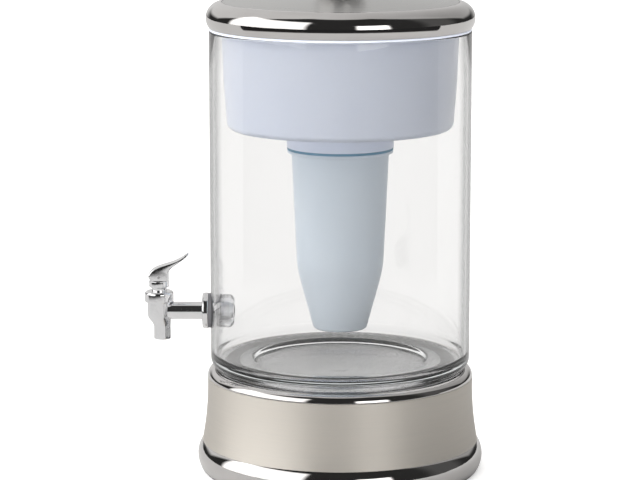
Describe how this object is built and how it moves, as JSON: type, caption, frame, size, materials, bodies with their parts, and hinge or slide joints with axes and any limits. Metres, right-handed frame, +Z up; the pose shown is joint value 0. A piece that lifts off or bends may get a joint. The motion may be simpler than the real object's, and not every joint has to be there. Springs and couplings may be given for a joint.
{
  "type": "countertop water dispenser",
  "caption": "Glass countertop drink dispenser with a metal stand and lid, a lever tap, and a hanging reservoir with a screw-in filter cartridge.",
  "frame": {"origin": "centre of the stand's underside, on the vessel's axis, on the table", "axes": "+Z up along the vessel's axis; -Y towards the tap, which is the front; +X to the right of someone who faces the tap"},
  "size_m": [0.2374, 0.2809, 0.4263],
  "materials": {
    "polished_steel": "mirror polished stainless steel",
    "brushed_steel": "fine circular and vertical brushing",
    "plain_steel": "plain machined or pressed finish",
    "tap_chrome": "bright chrome plate",
    "clear_glass": "clear, fire polished",
    "clear_plastic": "clear moulded plastic",
    "reservoir_plastic": "milky translucent white with a blue cast",
    "filter_plastic": "pale blue, satin",
    "gasket_blue": "blue-green soft gasket",
    "black_rubber": "matte black",
    "grey_rubber": "matte dark grey",
    "silicone": "milky silicone",
    "foam": "white fibre pad",
    "carbon": "packed black granules",
    "resin": "packed amber beads"
  },
  "bodies": {
    "stand": {"foot_ring": "polished_steel", "base_band": "brushed_steel", "shoulder_ring": "polished_steel", "seat_plate": "plain_steel", "cushion_ring": "silicone", "non_slip_ring": "black_rubber"},
    "vessel": {"glass_jar": "clear_glass", "tap_body": "tap_chrome", "tap_bonnet": "tap_chrome", "stem_oring": "black_rubber", "outer_flange": "tap_chrome", "outer_gasket": "grey_rubber", "inner_gasket": "grey_rubber", "lock_nut": "clear_plastic"},
    "tap_swivel": {"swivel_collar": "tap_chrome"},
    "tap_stem": {"valve_stem": "plain_steel", "valve_seal": "black_rubber", "valve_spring": "plain_steel"},
    "tap_lever": {"lever": "tap_chrome", "lever_pin": "plain_steel"},
    "reservoir": {"reservoir": "reservoir_plastic"},
    "socket_gasket": {"filter_gasket": "gasket_blue"},
    "cartridge": {"filter_shell": "filter_plastic", "filter_grille": "filter_plastic", "foam_disc": "foam", "carbon_bed": "carbon", "resin_bed": "resin", "outlet_screen": "foam"},
    "lid": {"lid_top": "brushed_steel", "lid_rim": "polished_steel", "lid_seal": "silicone", "lid_knob": "polished_steel", "knob_washer": "silicone", "knob_screw": "plain_steel"}
  },
  "joints": [
    {"name": "vessel_lift", "type": "slide", "parent": "stand", "child": "vessel", "axis": [0, 0, 1], "range_m": [0, 0.12]},
    {"name": "reservoir_lift", "type": "slide", "parent": "vessel", "child": "reservoir", "axis": [0, 0, 1], "range_m": [0, 0.26]},
    {"name": "lid_lift", "type": "slide", "parent": "reservoir", "child": "lid", "axis": [0, 0, 1], "range_m": [0, 0.12]},
    {"name": "filter_drop", "type": "slide", "parent": "reservoir", "child": "socket_gasket", "axis": [0, 0, -1], "range_m": [0, 0.009]},
    {"name": "filter_turn", "type": "hinge", "parent": "socket_gasket", "child": "cartridge", "pos_m": [0, 0, 0.268], "axis": [0, 0, -1], "range_deg": [0, 540]},
    {"name": "lever_swivel", "type": "hinge", "parent": "vessel", "child": "tap_swivel", "pos_m": [0, -0.1502, 0.154], "axis": [0, 0, 1], "continuous": true},
    {"name": "stem_lift", "type": "slide", "parent": "tap_swivel", "child": "tap_stem", "axis": [0, 0, 1], "range_m": [0, 0.0064], "stiffness_N_per_m": 500, "springref_m": -0.004, "deforming": ["valve_spring"]},
    {"name": "lever_tilt", "type": "hinge", "parent": "tap_stem", "child": "tap_lever", "pos_m": [0, -0.1502, 0.1613], "axis": [1, 0, 0], "range_deg": [0, 80]}
  ],
  "couplings": [
    {"joint": "filter_turn", "follows": "filter_drop", "rad_per_m": 1047.2},
    {"joint": "lever_tilt", "follows": "stem_lift", "rad_per_m": 218.16}
  ]
}
